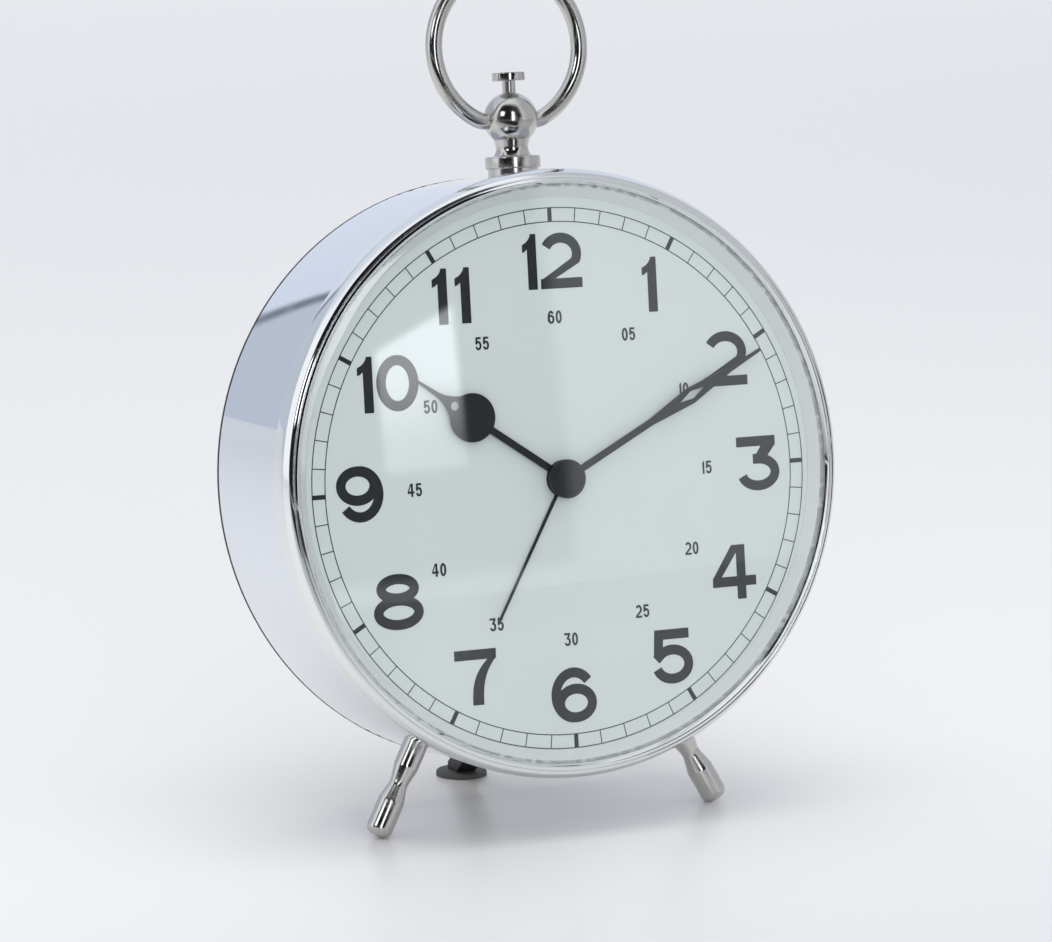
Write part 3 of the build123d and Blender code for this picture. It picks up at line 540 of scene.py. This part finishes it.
def digit_strokes(digit, width, height, stroke):
    """Paths and filled outlines of a numeral, with its left foot at the origin.

    Bare factors below are shares of the numeral's width, height or stroke: they are its drawing.
    """
    edge = stroke / 2
    middle = width / 2
    top, foot = height - edge, edge
    reach = middle - edge
    if digit == "0":
        return [bow((middle, height / 2), reach, height / 2 - edge, 90, 450, 48)], []
    if digit == "1":
        stem = width - stroke
        return [], [[
            (stem, 0), (width, 0), (width, height), (stem + 0.4 * stroke, height),
            (stem + 0.32 * stroke, 0.945 * height), (stem + 0.12 * stroke, 0.892 * height),
            (0.8 * stem, 0.853 * height), (0, 0.808 * height), (0, 0.665 * height),
            (0.55 * stem, 0.69 * height), (stem, 0.73 * height),
        ]]
    if digit == "2":
        radius = 0.29 * height
        centre = (middle, top - radius)
        bend = 27
        hook = bow(centre, reach, radius, 152, -bend, 28)
        inner, outer = (
            (centre[0] + (reach + side) * cos(radians(bend)),
             centre[1] - (radius + side) * sin(radians(bend)))
            for side in (-edge, edge)
        )
        slope = [inner, (0, 0.155 * height), (0, edge), (0.355 * width, edge),
                 (0.355 * width, stroke), outer]
        return [hook, [(0, foot), (width, foot)]], [slope]
    if digit == "3":
        waist = 0.585 * height
        bowl = bow((middle, (waist + edge) / 2), reach, (waist - edge) / 2, 90, -165, 30)
        slope = [
            (0.92 * width, height), (0.645 * width, height - edge), (0.465 * width, waist + edge),
            (0.5 * width, waist), (0.74 * width, waist + 0.6 * edge), (0.92 * width, 0.835 * height),
        ]
        return [[(0, top), (0.92 * width, top)], [(0.38 * width, waist)] + bowl], [slope]
    if digit == "4":
        bar = 0.33 * height
        stem = 0.66 * width
        slope = [
            (stem - edge, height), (0.455 * width, height), (0, bar + 0.35 * stroke),
            (0, bar - edge), (0.21 * width, bar - edge), (0.21 * width, bar + edge),
            (stem - edge, 0.855 * height),
        ]
        return [[(stem, 0), (stem, height)], [(0.1 * width, bar), (width, bar)]], [slope]
    if digit == "5":
        radius = 0.5 * (0.625 * height - edge)
        bowl = bow((middle, foot + radius), reach, radius, 132, -163, 30)
        stem = edge + 0.08 * width
        return [
            [(0.92 * width, top), (stem, top), (stem - 0.03 * width, 0.52 * height)],
            [(0.105 * width, 0.455 * height)] + bowl,
        ], []
    if digit in "69":
        crown = 0.61 * height
        across = 0.355 * width
        bowl = bow((width - edge - across, (crown + edge) / 2), across, (crown - edge) / 2, 0, 360, 48)
        hook = bow((middle, height / 2), reach, height / 2 - edge, 37, 270, 40)
        paths = [bowl, hook]
        if digit == "9":
            paths = [[(width - x, height - y) for x, y in path] for path in paths]
        return paths, []
    if digit == "7":
        outline = [(width, height), (0.5 * width, height), (0.5 * width, height - stroke)]
        steps = 14
        for start, end, high in ((0.79, 0.4, height - stroke), (1.0, 0.665, 0.84 * height)):
            side = []
            for step in range(steps + 1):
                share = step / steps
                side.append((width * (end + (start - end) * (1 - share)**2.9), high * (1 - share)))
            outline += side if start < 1 else reversed(side)
        return [[(0, top), (width, top)]], [outline]
    lower = 0.5 * (0.526 * height - edge)
    upper = 0.5 * (0.438 * height - edge)
    lower_bowl = bow((middle, foot + lower), reach, lower, 0, 360, 48)
    upper_bowl = bow((middle, top - upper), reach * 0.82, upper, 0, 360, 48)
    return [lower_bowl, upper_bowl], []


DIGIT_WIDTHS = {
    "0": 7.4, "1": 2.65, "2": 7.9, "3": 7.9, "4": 8.1, "5": 7.6, "6": 8.2, "7": 7.45, "8": 8.75,
    "9": 8.2,
}
# shifts of single hours off their circle, to the right and up
NUDGES = {
    1: (-0.28, 0), 3: (0.4, 0), 4: (-0.3, 0), 5: (0.5, 0), 7: (0.45, -0.35), 8: (0.5, 0),
    9: (-0.4, 0), 10: (0.05, 0), 11: (-0.42, 0), 12: (0.05, 0),
}


def text_faces(text, centre, height, stroke, squeeze, gap):
    """Filled faces of a number, upright, with its middle at a point of the dial."""
    widths = [DIGIT_WIDTHS[digit] * squeeze * height / NUMERAL_HEIGHT for digit in text]
    cursor = centre[0] - (sum(widths) + gap * (len(text) - 1)) / 2
    foot = centre[1] - height / 2
    faces = []
    for digit, width in zip(text, widths):
        paths, outlines = digit_strokes(digit, width, height, stroke)
        quads = [face for path in paths for face in stroke_faces(path, stroke)]
        quads += [[Vector(point) for point in outline] for outline in outlines]
        shift = Vector((cursor, foot))
        faces.append([[point + shift for point in face] for face in quads])
        cursor += width + gap
    return faces


def merged(faces):
    """Flat vertices and triangles of overlapping faces, joined into one outline."""
    points = []
    loops = []
    for face in faces:
        area = sum(a.x * b.y - b.x * a.y for a, b in zip(face, face[1:] + face[:1]))
        loops.append(list(range(len(points), len(points) + len(face))))
        points.extend(face if area > 0 else reversed(face))
    vertices, _, triangles, _, _, sources = delaunay_2d_cdt(points, [], loops, 0, 1e-5)
    return vertices, [triangle for triangle, source in zip(triangles, sources) if source]


def printed(name, groups, body="case", slot="dial_white", look="dial_ink"):
    """Thin ink film in the hands' frame from groups of overlapping flat faces."""
    vertices = []
    faces = []
    for group in groups:
        flat, triangles = merged(group)
        start = len(vertices)
        count = len(flat)
        vertices += [(p.x, p.y, INK_TOP) for p in flat] + [(p.x, p.y, INK_FOOT) for p in flat]
        edges = {}
        for triangle in triangles:
            faces.append([start + v for v in triangle])
            faces.append([start + count + v for v in reversed(triangle)])
            for a, b in zip(triangle, triangle[1:] + triangle[:1]):
                edges[(a, b)] = edges.get((a, b), 0) + 1
        for a, b in edges:
            if (b, a) not in edges:
                faces.append([start + b, start + a, start + count + a, start + count + b])
    return piece_from(name, vertices, faces, hands_frame, body, slot, look)


def on_circle(radius, hour):
    angle = radians(30 * hour)
    return radius * sin(angle), radius * cos(angle)


numeral_groups = []
label_groups = []
for hour in range(1, 13):
    circle = NUMERAL_CIRCLE - (TEN_INSET if hour == 10 else 0.0)
    gap = ELEVEN_GAP if hour == 11 else NUMERAL_GAP
    squeeze = TWELVE_SQUEEZE if hour == 12 else 1.0
    across, along = on_circle(circle, hour)
    right_shift, up_shift = NUDGES.get(hour, (0, 0))
    numeral_groups += text_faces(
        str(hour), (across + right_shift, along + up_shift), NUMERAL_HEIGHT, STROKE, squeeze, gap
    )
    label_groups += text_faces(
        f"{hour * 5:02d}", on_circle(LABEL_CIRCLE, hour), LABEL_HEIGHT, LABEL_STROKE,
        LABEL_SQUEEZE, LABEL_GAP,
    )
printed("hour_numerals", numeral_groups)
printed("minute_labels", label_groups)


def ring_faces(radius, width, steps=360):
    """Quads of a printed circle, given the radius of its middle line."""
    angles = [2 * pi * step / steps for step in range(steps)]
    path = [Vector((radius * cos(angle), radius * sin(angle))) for angle in angles]
    inner = (radius - width / 2) / radius
    outer = (radius + width / 2) / radius
    return [
        [point * inner, follow * inner, follow * outer, point * outer]
        for point, follow in zip(path, path[1:] + path[:1])
    ]


track_groups = [ring_faces(TRACK_OUTER, LINE), ring_faces(TRACK_INNER, LINE)]
for minute in range(60):
    width = LINE if minute % 5 else BOLD_TICK
    angle = radians(6 * minute)
    along = Vector((sin(angle), cos(angle)))
    across = along.orthogonal() * width / 2
    inner = along * (TRACK_INNER + LINE / 2 + TICK_GAP)
    outer = along * (TRACK_OUTER - LINE / 2 - TICK_GAP)
    track_groups.append([[inner - across, inner + across, outer + across, outer - across]])
printed("minute_track", track_groups)

# --- Centre cap -------------------------------------------------------------------------
CAP_FOOT = 1.55
CAP_FRONT = 2.15
CAP_RADIUS = 3.2
CAP_LIP = 2.62
CAP_DISH = 2.45
lathed(
    "centre_cap_disc",
    [(0, CAP_FOOT)] + rounded([
        (0, CAP_FOOT, 0),
        (CAP_RADIUS, CAP_FOOT, 0.05),
        (CAP_RADIUS, CAP_FRONT, 0.14),
        (CAP_LIP, CAP_FRONT, 0.05),
        (CAP_DISH, CAP_FRONT - 0.18, 0.05),
        (0, CAP_FRONT - 0.32, 0),
    ], closed=False)[1:],
    hands_frame, "minute_train", "hand_black", "centre_cap", closed=False, segments=128,
)

# --- Finial, ring and button ------------------------------------------------------------
BUTTON_BORE = 1.15
STUD_FOOT = 43.2
STUD_RADIUS = 2.5
FLANGE_FOOT = 50.4
FLANGE_TOP = 52.45
FLANGE_RADIUS = 4.6
NECK_FOOT_RADIUS = 3.2
NECK_RADIUS = 2.6
NECK_WAIST = 53.6
NECK_TOP_RADIUS = 3.0
neck_top_angle = degrees(atan2(-sqrt(BALL_RADIUS**2 - NECK_TOP_RADIUS**2), NECK_TOP_RADIUS))
mouth_angle = degrees(atan2(sqrt(BALL_RADIUS**2 - BUTTON_BORE**2), BUTTON_BORE))
neck_top = BALL_HEIGHT + BALL_RADIUS * sin(radians(neck_top_angle))
lathed(
    "turned_finial",
    rounded([
        (BUTTON_BORE, STUD_FOOT, 0),
        (STUD_RADIUS, STUD_FOOT, 0.3),
        (STUD_RADIUS, FLANGE_FOOT, 0),
        (FLANGE_RADIUS, FLANGE_FOOT, 0.25),
        (FLANGE_RADIUS, FLANGE_TOP, 0.3),
        (NECK_FOOT_RADIUS, FLANGE_TOP, 0.35),
        (NECK_RADIUS, NECK_WAIST, 1.6),
        (NECK_TOP_RADIUS - 0.05, neck_top - 0.05, 0.12),
        (NECK_TOP_RADIUS, neck_top, 0),
    ], closed=False)
    + arc((0, BALL_HEIGHT), BALL_RADIUS, neck_top_angle, mouth_angle, 56)[1:]
    + [(BUTTON_BORE, BALL_HEIGHT + 3.9)],
    finial_frame, "case", "nickel", "finial", segments=192,
)

BUTTON_BASE = 64.9
BUTTON_TOP = 66.4
BUTTON_RADIUS = 2.75
STEM_RADIUS = 1.1
STEM_FOOT = 38.0
lathed(
    "top_button",
    [(0, STEM_FOOT)] + rounded([
        (0, STEM_FOOT, 0),
        (STEM_RADIUS, STEM_FOOT, 0.2),
        (STEM_RADIUS, BUTTON_BASE, 0.1),
        (BUTTON_RADIUS, BUTTON_BASE, 0.15),
        (BUTTON_RADIUS, BUTTON_TOP - 0.1, 0.2),
        (0, BUTTON_TOP, 0),
    ], closed=False)[1:],
    finial_frame, "button", "nickel", "snooze_button", closed=False, segments=128,
)

BEND_RADIUS = 3.0
PIN_LENGTH = 4.6
PIN_END = 1.8
bend_angle = asin(PIN_LENGTH / (RING_RADIUS - BEND_RADIUS))
ring_centre = PIVOT_HEIGHT + BEND_RADIUS * (1 - cos(bend_angle)) + RING_RADIUS * cos(bend_angle)


def ring_path():
    """Centre line of the ring handle from its right pin over the top to its left pin."""
    half = [(PIN_END, PIVOT_HEIGHT), (3.2, PIVOT_HEIGHT)]
    for step in range(13):
        angle = bend_angle * step / 12
        half.append((
            PIN_LENGTH + BEND_RADIUS * sin(angle),
            PIVOT_HEIGHT + BEND_RADIUS * (1 - cos(angle)),
        ))
    for step in range(1, 81):
        angle = bend_angle + (pi - bend_angle) * step / 80
        half.append((RING_RADIUS * sin(angle), ring_centre - RING_RADIUS * cos(angle)))
    return half + [(-x, z) for x, z in reversed(half[:-1])]


def tube(path, radius, around=40):
    """Vertices and faces of a round wire along a path in the x-z plane, with rounded ends."""
    vertices = []
    rings = []
    last = len(path) - 1
    tips = [(0.75 * radius, 0.22), (0.93 * radius, 0.1)]
    stations = [(0, size, -shift) for size, shift in tips]
    stations += [(index, radius, 0.0) for index in range(len(path))]
    stations += [(last, size, shift) for size, shift in reversed(tips)]
    for index, size, shift in stations:
        before = Vector(path[max(0, index - 1)])
        after = Vector(path[min(last, index + 1)])
        along = (after - before).normalized()
        centre = Vector(path[index]) + along * shift
        side = Vector((-along.y, along.x))
        rings.append(range(len(vertices), len(vertices) + around))
        for spoke in range(around):
            angle = 2 * pi * spoke / around
            flat = centre + side * size * cos(angle)
            vertices.append((flat.x, size * sin(angle), flat.y))
    faces = [list(rings[0]), list(rings[-1])]
    for low, high in zip(rings, rings[1:]):
        for spoke in range(around):
            follow = (spoke + 1) % around
            faces.append([low[spoke], low[follow], high[follow], high[spoke]])
    return vertices, faces


wire_vertices, wire_faces = tube(ring_path(), WIRE_RADIUS)
ring_piece = piece_from(
    "wire_ring_handle", wire_vertices, wire_faces, finial_frame, "ring", "nickel"
)
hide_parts("ring_handle")

# --- Legs -------------------------------------------------------------------------------
LEG_STUD = 1.5
LEG_STUD_FOOT = 44.2
LEG_SHOULDER = 48.5
LEG_RADIUS = 2.1
LEG_TAPER = 53.5
WAIST_RADIUS = 1.5
WAIST_AT = 56.5
TOE_AT = 59.6
TOE_RADIUS = 2.25
TOE_FILLET = 1.5
for node, side in (("left_leg", -1), ("right_leg", 1)):
    down = leg_frame(side).to_3x3() @ Vector((0, 0, 1)) / MM
    drop = -down.z
    slope = sqrt(1 - drop**2)
    height = (case_centre.z - forward.z * LEG_DEPTH * MM) / MM
    leg_end = TOE_FILLET + (height - (TOE_RADIUS - TOE_FILLET) * slope - TOE_FILLET) / drop
    lathed(
        f"turned_{node}",
        [(0, LEG_STUD_FOOT)] + rounded([
            (0, LEG_STUD_FOOT, 0),
            (LEG_STUD, LEG_STUD_FOOT, 0.2),
            (LEG_STUD, LEG_SHOULDER, 0),
            (LEG_RADIUS, LEG_SHOULDER, 0),
            (LEG_RADIUS, LEG_TAPER, 1.8),
            (WAIST_RADIUS, WAIST_AT, 2.6),
            (TOE_RADIUS, TOE_AT, 1.8),
            (TOE_RADIUS, leg_end, TOE_FILLET),
            (0, leg_end, 0),
        ], closed=False, steps=14)[1:],
        leg_frame(side), "case", "nickel", node, closed=False, segments=128,
    )

# --- Floor ------------------------------------------------------------------------------
# metres from here on
FLOOR_HALF = 8.0
# painted shade and light on the white table: darker in front of the clock, paler round it, palest far behind it
TABLE_NEAR = (0.608, 0.626, 0.628)
TABLE_UNDER = (0.722, 0.717, 0.712)
TABLE_FAR = (0.92, 0.915, 0.885)
# painted reflection: the dark that mirrors are shown on the table
DARK = (0.02, 0.02, 0.022, 1)
SECTOR_SLANT = 0.176
NEAR_DARK = 0.25
floor_data = bpy.data.meshes.new("floor")
floor_data.from_pydata(
    [(-FLOOR_HALF, -FLOOR_HALF, 0), (FLOOR_HALF, -FLOOR_HALF, 0),
     (FLOOR_HALF, FLOOR_HALF, 0), (-FLOOR_HALF, FLOOR_HALF, 0)],
    [], [(0, 1, 2, 3)],
)
floor = bpy.data.objects.new("floor", floor_data)
bpy.context.scene.collection.objects.link(floor)
floor_material, floor_graph = new_graph("table_white")
floor_place = floor_graph.node("ShaderNodeSeparateXYZ", {0: floor_graph.place()}).outputs
# painted shade and light: the table's tone is ramped along Y, darkest in front of the clock and lightest far
# behind it
under_share = floor_graph.ramp(floor_place["Y"], -0.16, 0.02, 0.0, 1.0)
far_share = floor_graph.ramp(floor_place["Y"], 0.25, 2.2, 0.0, 1.0)
near_painted_shade = floor_graph.mix(under_share, TABLE_NEAR, TABLE_UNDER)
floor_painted_light_and_shade = floor_graph.mix(far_share, near_painted_shade, TABLE_FAR)
table = floor_graph.principled(floor_painted_light_and_shade, 0.3, Specular_IOR_Level=0.35)
# painted reflection, for mirrors only: the table is painted as a dark emission ahead and to the left of the
# clock, where the studio's dark opening goes on over it, and the mirrored strip just before its feet is painted
# darker too
ahead = floor_graph.ramp(floor_place["Y"], -0.30, -0.22, 1.0, 0.0)
slanted = floor_graph.maths("MULTIPLY", floor_place["Y"], SECTOR_SLANT)
sector = floor_graph.maths("ADD", floor_place["X"], slanted)
leftward = floor_graph.ramp(sector, -0.01, 0.01, 1.0, 0.0)
near_dark = floor_graph.ramp(floor_place["Y"], -0.10, -0.03, NEAR_DARK, 0.0)
opening_dark = floor_graph.maths("MULTIPLY", ahead, leftward)
darkest = floor_graph.maths("MAXIMUM", near_dark, opening_dark)
mirrored = floor_graph.node("ShaderNodeLightPath").outputs["Is Glossy Ray"]
painted_reflection_share = floor_graph.maths("MULTIPLY", darkest, mirrored)
# painted reflection: dark emission seen only in mirrors
painted_reflection_dark = floor_graph.node("ShaderNodeEmission", {"Color": DARK}).outputs[0]
shown = floor_graph.node("ShaderNodeMixShader", {0: painted_reflection_share, 1: table, 2: painted_reflection_dark})
finish_graph(floor_graph, shown.outputs[0])
floor_data.materials.append(floor_material)

# --- Studio, seen only in mirrors -------------------------------------------------------


def heading(azimuth, elevation):
    """Direction from the clock: azimuth in degrees from straight ahead of it, towards +X."""
    flat = cos(radians(elevation))
    return Vector((
        sin(radians(azimuth)) * flat, -cos(radians(azimuth)) * flat, sin(radians(elevation))
    ))


world = bpy.data.worlds.new("studio")
bpy.context.scene.world = world
world.use_nodes = True
world.node_tree.nodes.clear()
sky = Graph(world.node_tree)
view = sky.node("ShaderNodeTexCoord").outputs["Generated"]


def panel(azimuth, elevation, half_width, half_height, softness):
    """Share of a soft-edged rectangle seen in a direction, sizes in degrees."""
    middle = heading(azimuth, elevation)
    across = Vector((0, 0, 1)).cross(middle).normalized()
    along = middle.cross(across)
    depth = sky.dot(view, middle)
    inside = sky.maths("GREATER_THAN", depth, 0.02)
    for direction, half in ((across, half_width), (along, half_height)):
        offset = sky.maths("ABSOLUTE", sky.maths("DIVIDE", sky.dot(view, direction), depth))
        edge = tan(radians(half))
        soft = tan(radians(softness))
        inside = sky.maths("MULTIPLY", inside, sky.ramp(offset, edge - soft, edge + soft, 1.0, 0.0))
    return inside


TENT = (0.76, 0.79, 0.83)
TENT_TOP = (1.0, 1.02, 1.05)
TENT_RIGHT = (0.58, 0.595, 0.62)
TENT_LEFT = (1.05, 1.07, 1.1)
BACK = (0.74, 0.79, 0.90)
BACK_LEFT = (0.56, 0.61, 0.70)
SEAM = (0.22, 0.24, 0.30)
ROOM = (0.012, 0.012, 0.016)
LAMP = (3.2, 3.25, 3.3)
WINDOW_LOW = (1.15, 1.2, 1.25)
WINDOW_HIGH = (3.2, 3.3, 3.4)
PLAIN = (0.89, 0.90, 0.92)
# panels are azimuth, elevation, half width, half height and softness, in degrees
TENT_PANELS = (
    ((98, 10, 52, 60, 12), TENT_RIGHT),
    ((-101, 10, 16, 55, 4), TENT_LEFT),
    ((176, 20, 50, 45, 6), BACK),
    ((-146.6, 8, 28.5, 26, 1.5), BACK_LEFT),
    ((-175.4, 14, 0.8, 22, 0.7), SEAM),
)
LAMP_PANELS = ((-13, 6, 5, 30, 1.0), (-62, 26, 7, 8, 1.2))
OPENING_PANEL = (-30, 0, 55.0, 70, 1.2)
WINDOW_PANEL = (20.1, 7.5, 1.4, 3.7, 0.2)
WINDOW_TOP = (heading(18.5, 7.55), heading(21.3, 8.7))  # two points of its slanting top edge

view_height = sky.node("ShaderNodeSeparateXYZ", {0: view}).outputs["Z"]
wall = sky.mix(sky.ramp(view_height, 0.35, 0.85, 0.0, 1.0), TENT, TENT_TOP)
for place, tone in TENT_PANELS:
    wall = sky.mix(panel(*place), wall, tone)
over_table = sky.ramp(view_height, 0.001, 0.012, 0.0, 1.0)
wall = sky.mix(sky.maths("MULTIPLY", panel(*OPENING_PANEL), over_table), wall, ROOM)
for place in LAMP_PANELS:
    wall = sky.mix(panel(*place), wall, LAMP)
slant = WINDOW_TOP[0].cross(WINDOW_TOP[1]).normalized()
under_slant = sky.ramp(sky.dot(view, slant), -0.003, 0.003, 1.0, 0.0)
window = sky.maths("MULTIPLY", panel(*WINDOW_PANEL), under_slant)
pane = sky.mix(sky.ramp(view_height, 0.075, 0.12, 0.0, 1.0), WINDOW_LOW, WINDOW_HIGH)
wall = sky.mix(window, wall, pane)
in_mirror = sky.node("ShaderNodeLightPath").outputs["Is Glossy Ray"]
sky_colour = sky.mix(in_mirror, PLAIN, wall)
background = sky.node("ShaderNodeBackground", {"Color": sky_colour, "Strength": 1.0})
sky.node("ShaderNodeOutputWorld", {"Surface": background.outputs[0]})

# --- Lamps and camera -------------------------------------------------------------------
WHITE = (1.0, 1.0, 1.0)


def softbox(name, position, target, width, height, power):
    """Rectangular lamp that lights surfaces but isn't mirrored: the world holds the panels."""
    data = bpy.data.lights.new(name, "AREA")
    data.shape = "RECTANGLE"
    data.size = width
    data.size_y = height
    data.energy = power
    data.color = WHITE
    lamp = bpy.data.objects.new(name, data)
    lamp.location = position
    lamp.rotation_euler = (Vector(target) - Vector(position)).to_track_quat("-Z", "Y").to_euler()
    lamp.visible_glossy = False
    lamp.visible_camera = False
    bpy.context.scene.collection.objects.link(lamp)


softbox("top_light", (-0.1, -0.05, 1.1), (0, 0, 0.03), 0.9, 0.9, 5.0)
softbox("front_fill", (-0.35, -1.3, 0.40), (0, 0, 0.07), 0.9, 0.5, 6.5)

CAMERA_OFFSET = Vector((-0.32004, -0.67574, 0.12708))
CAMERA_AZIMUTH = -24.882
CAMERA_ELEVATION = 9.614
LENS_LENGTH = 158.25
camera_data = bpy.data.cameras.new("camera")
camera_data.sensor_width = 36.0
camera_data.lens = LENS_LENGTH
camera_data.clip_start = 0.01
camera = bpy.data.objects.new("camera", camera_data)
camera.location = case_centre + CAMERA_OFFSET
camera.rotation_euler = heading(CAMERA_AZIMUTH, CAMERA_ELEVATION).to_track_quat("Z", "Y").to_euler()
bpy.context.scene.collection.objects.link(camera)
bpy.context.scene.camera = camera
bpy.context.scene.view_settings.view_transform = "Standard"
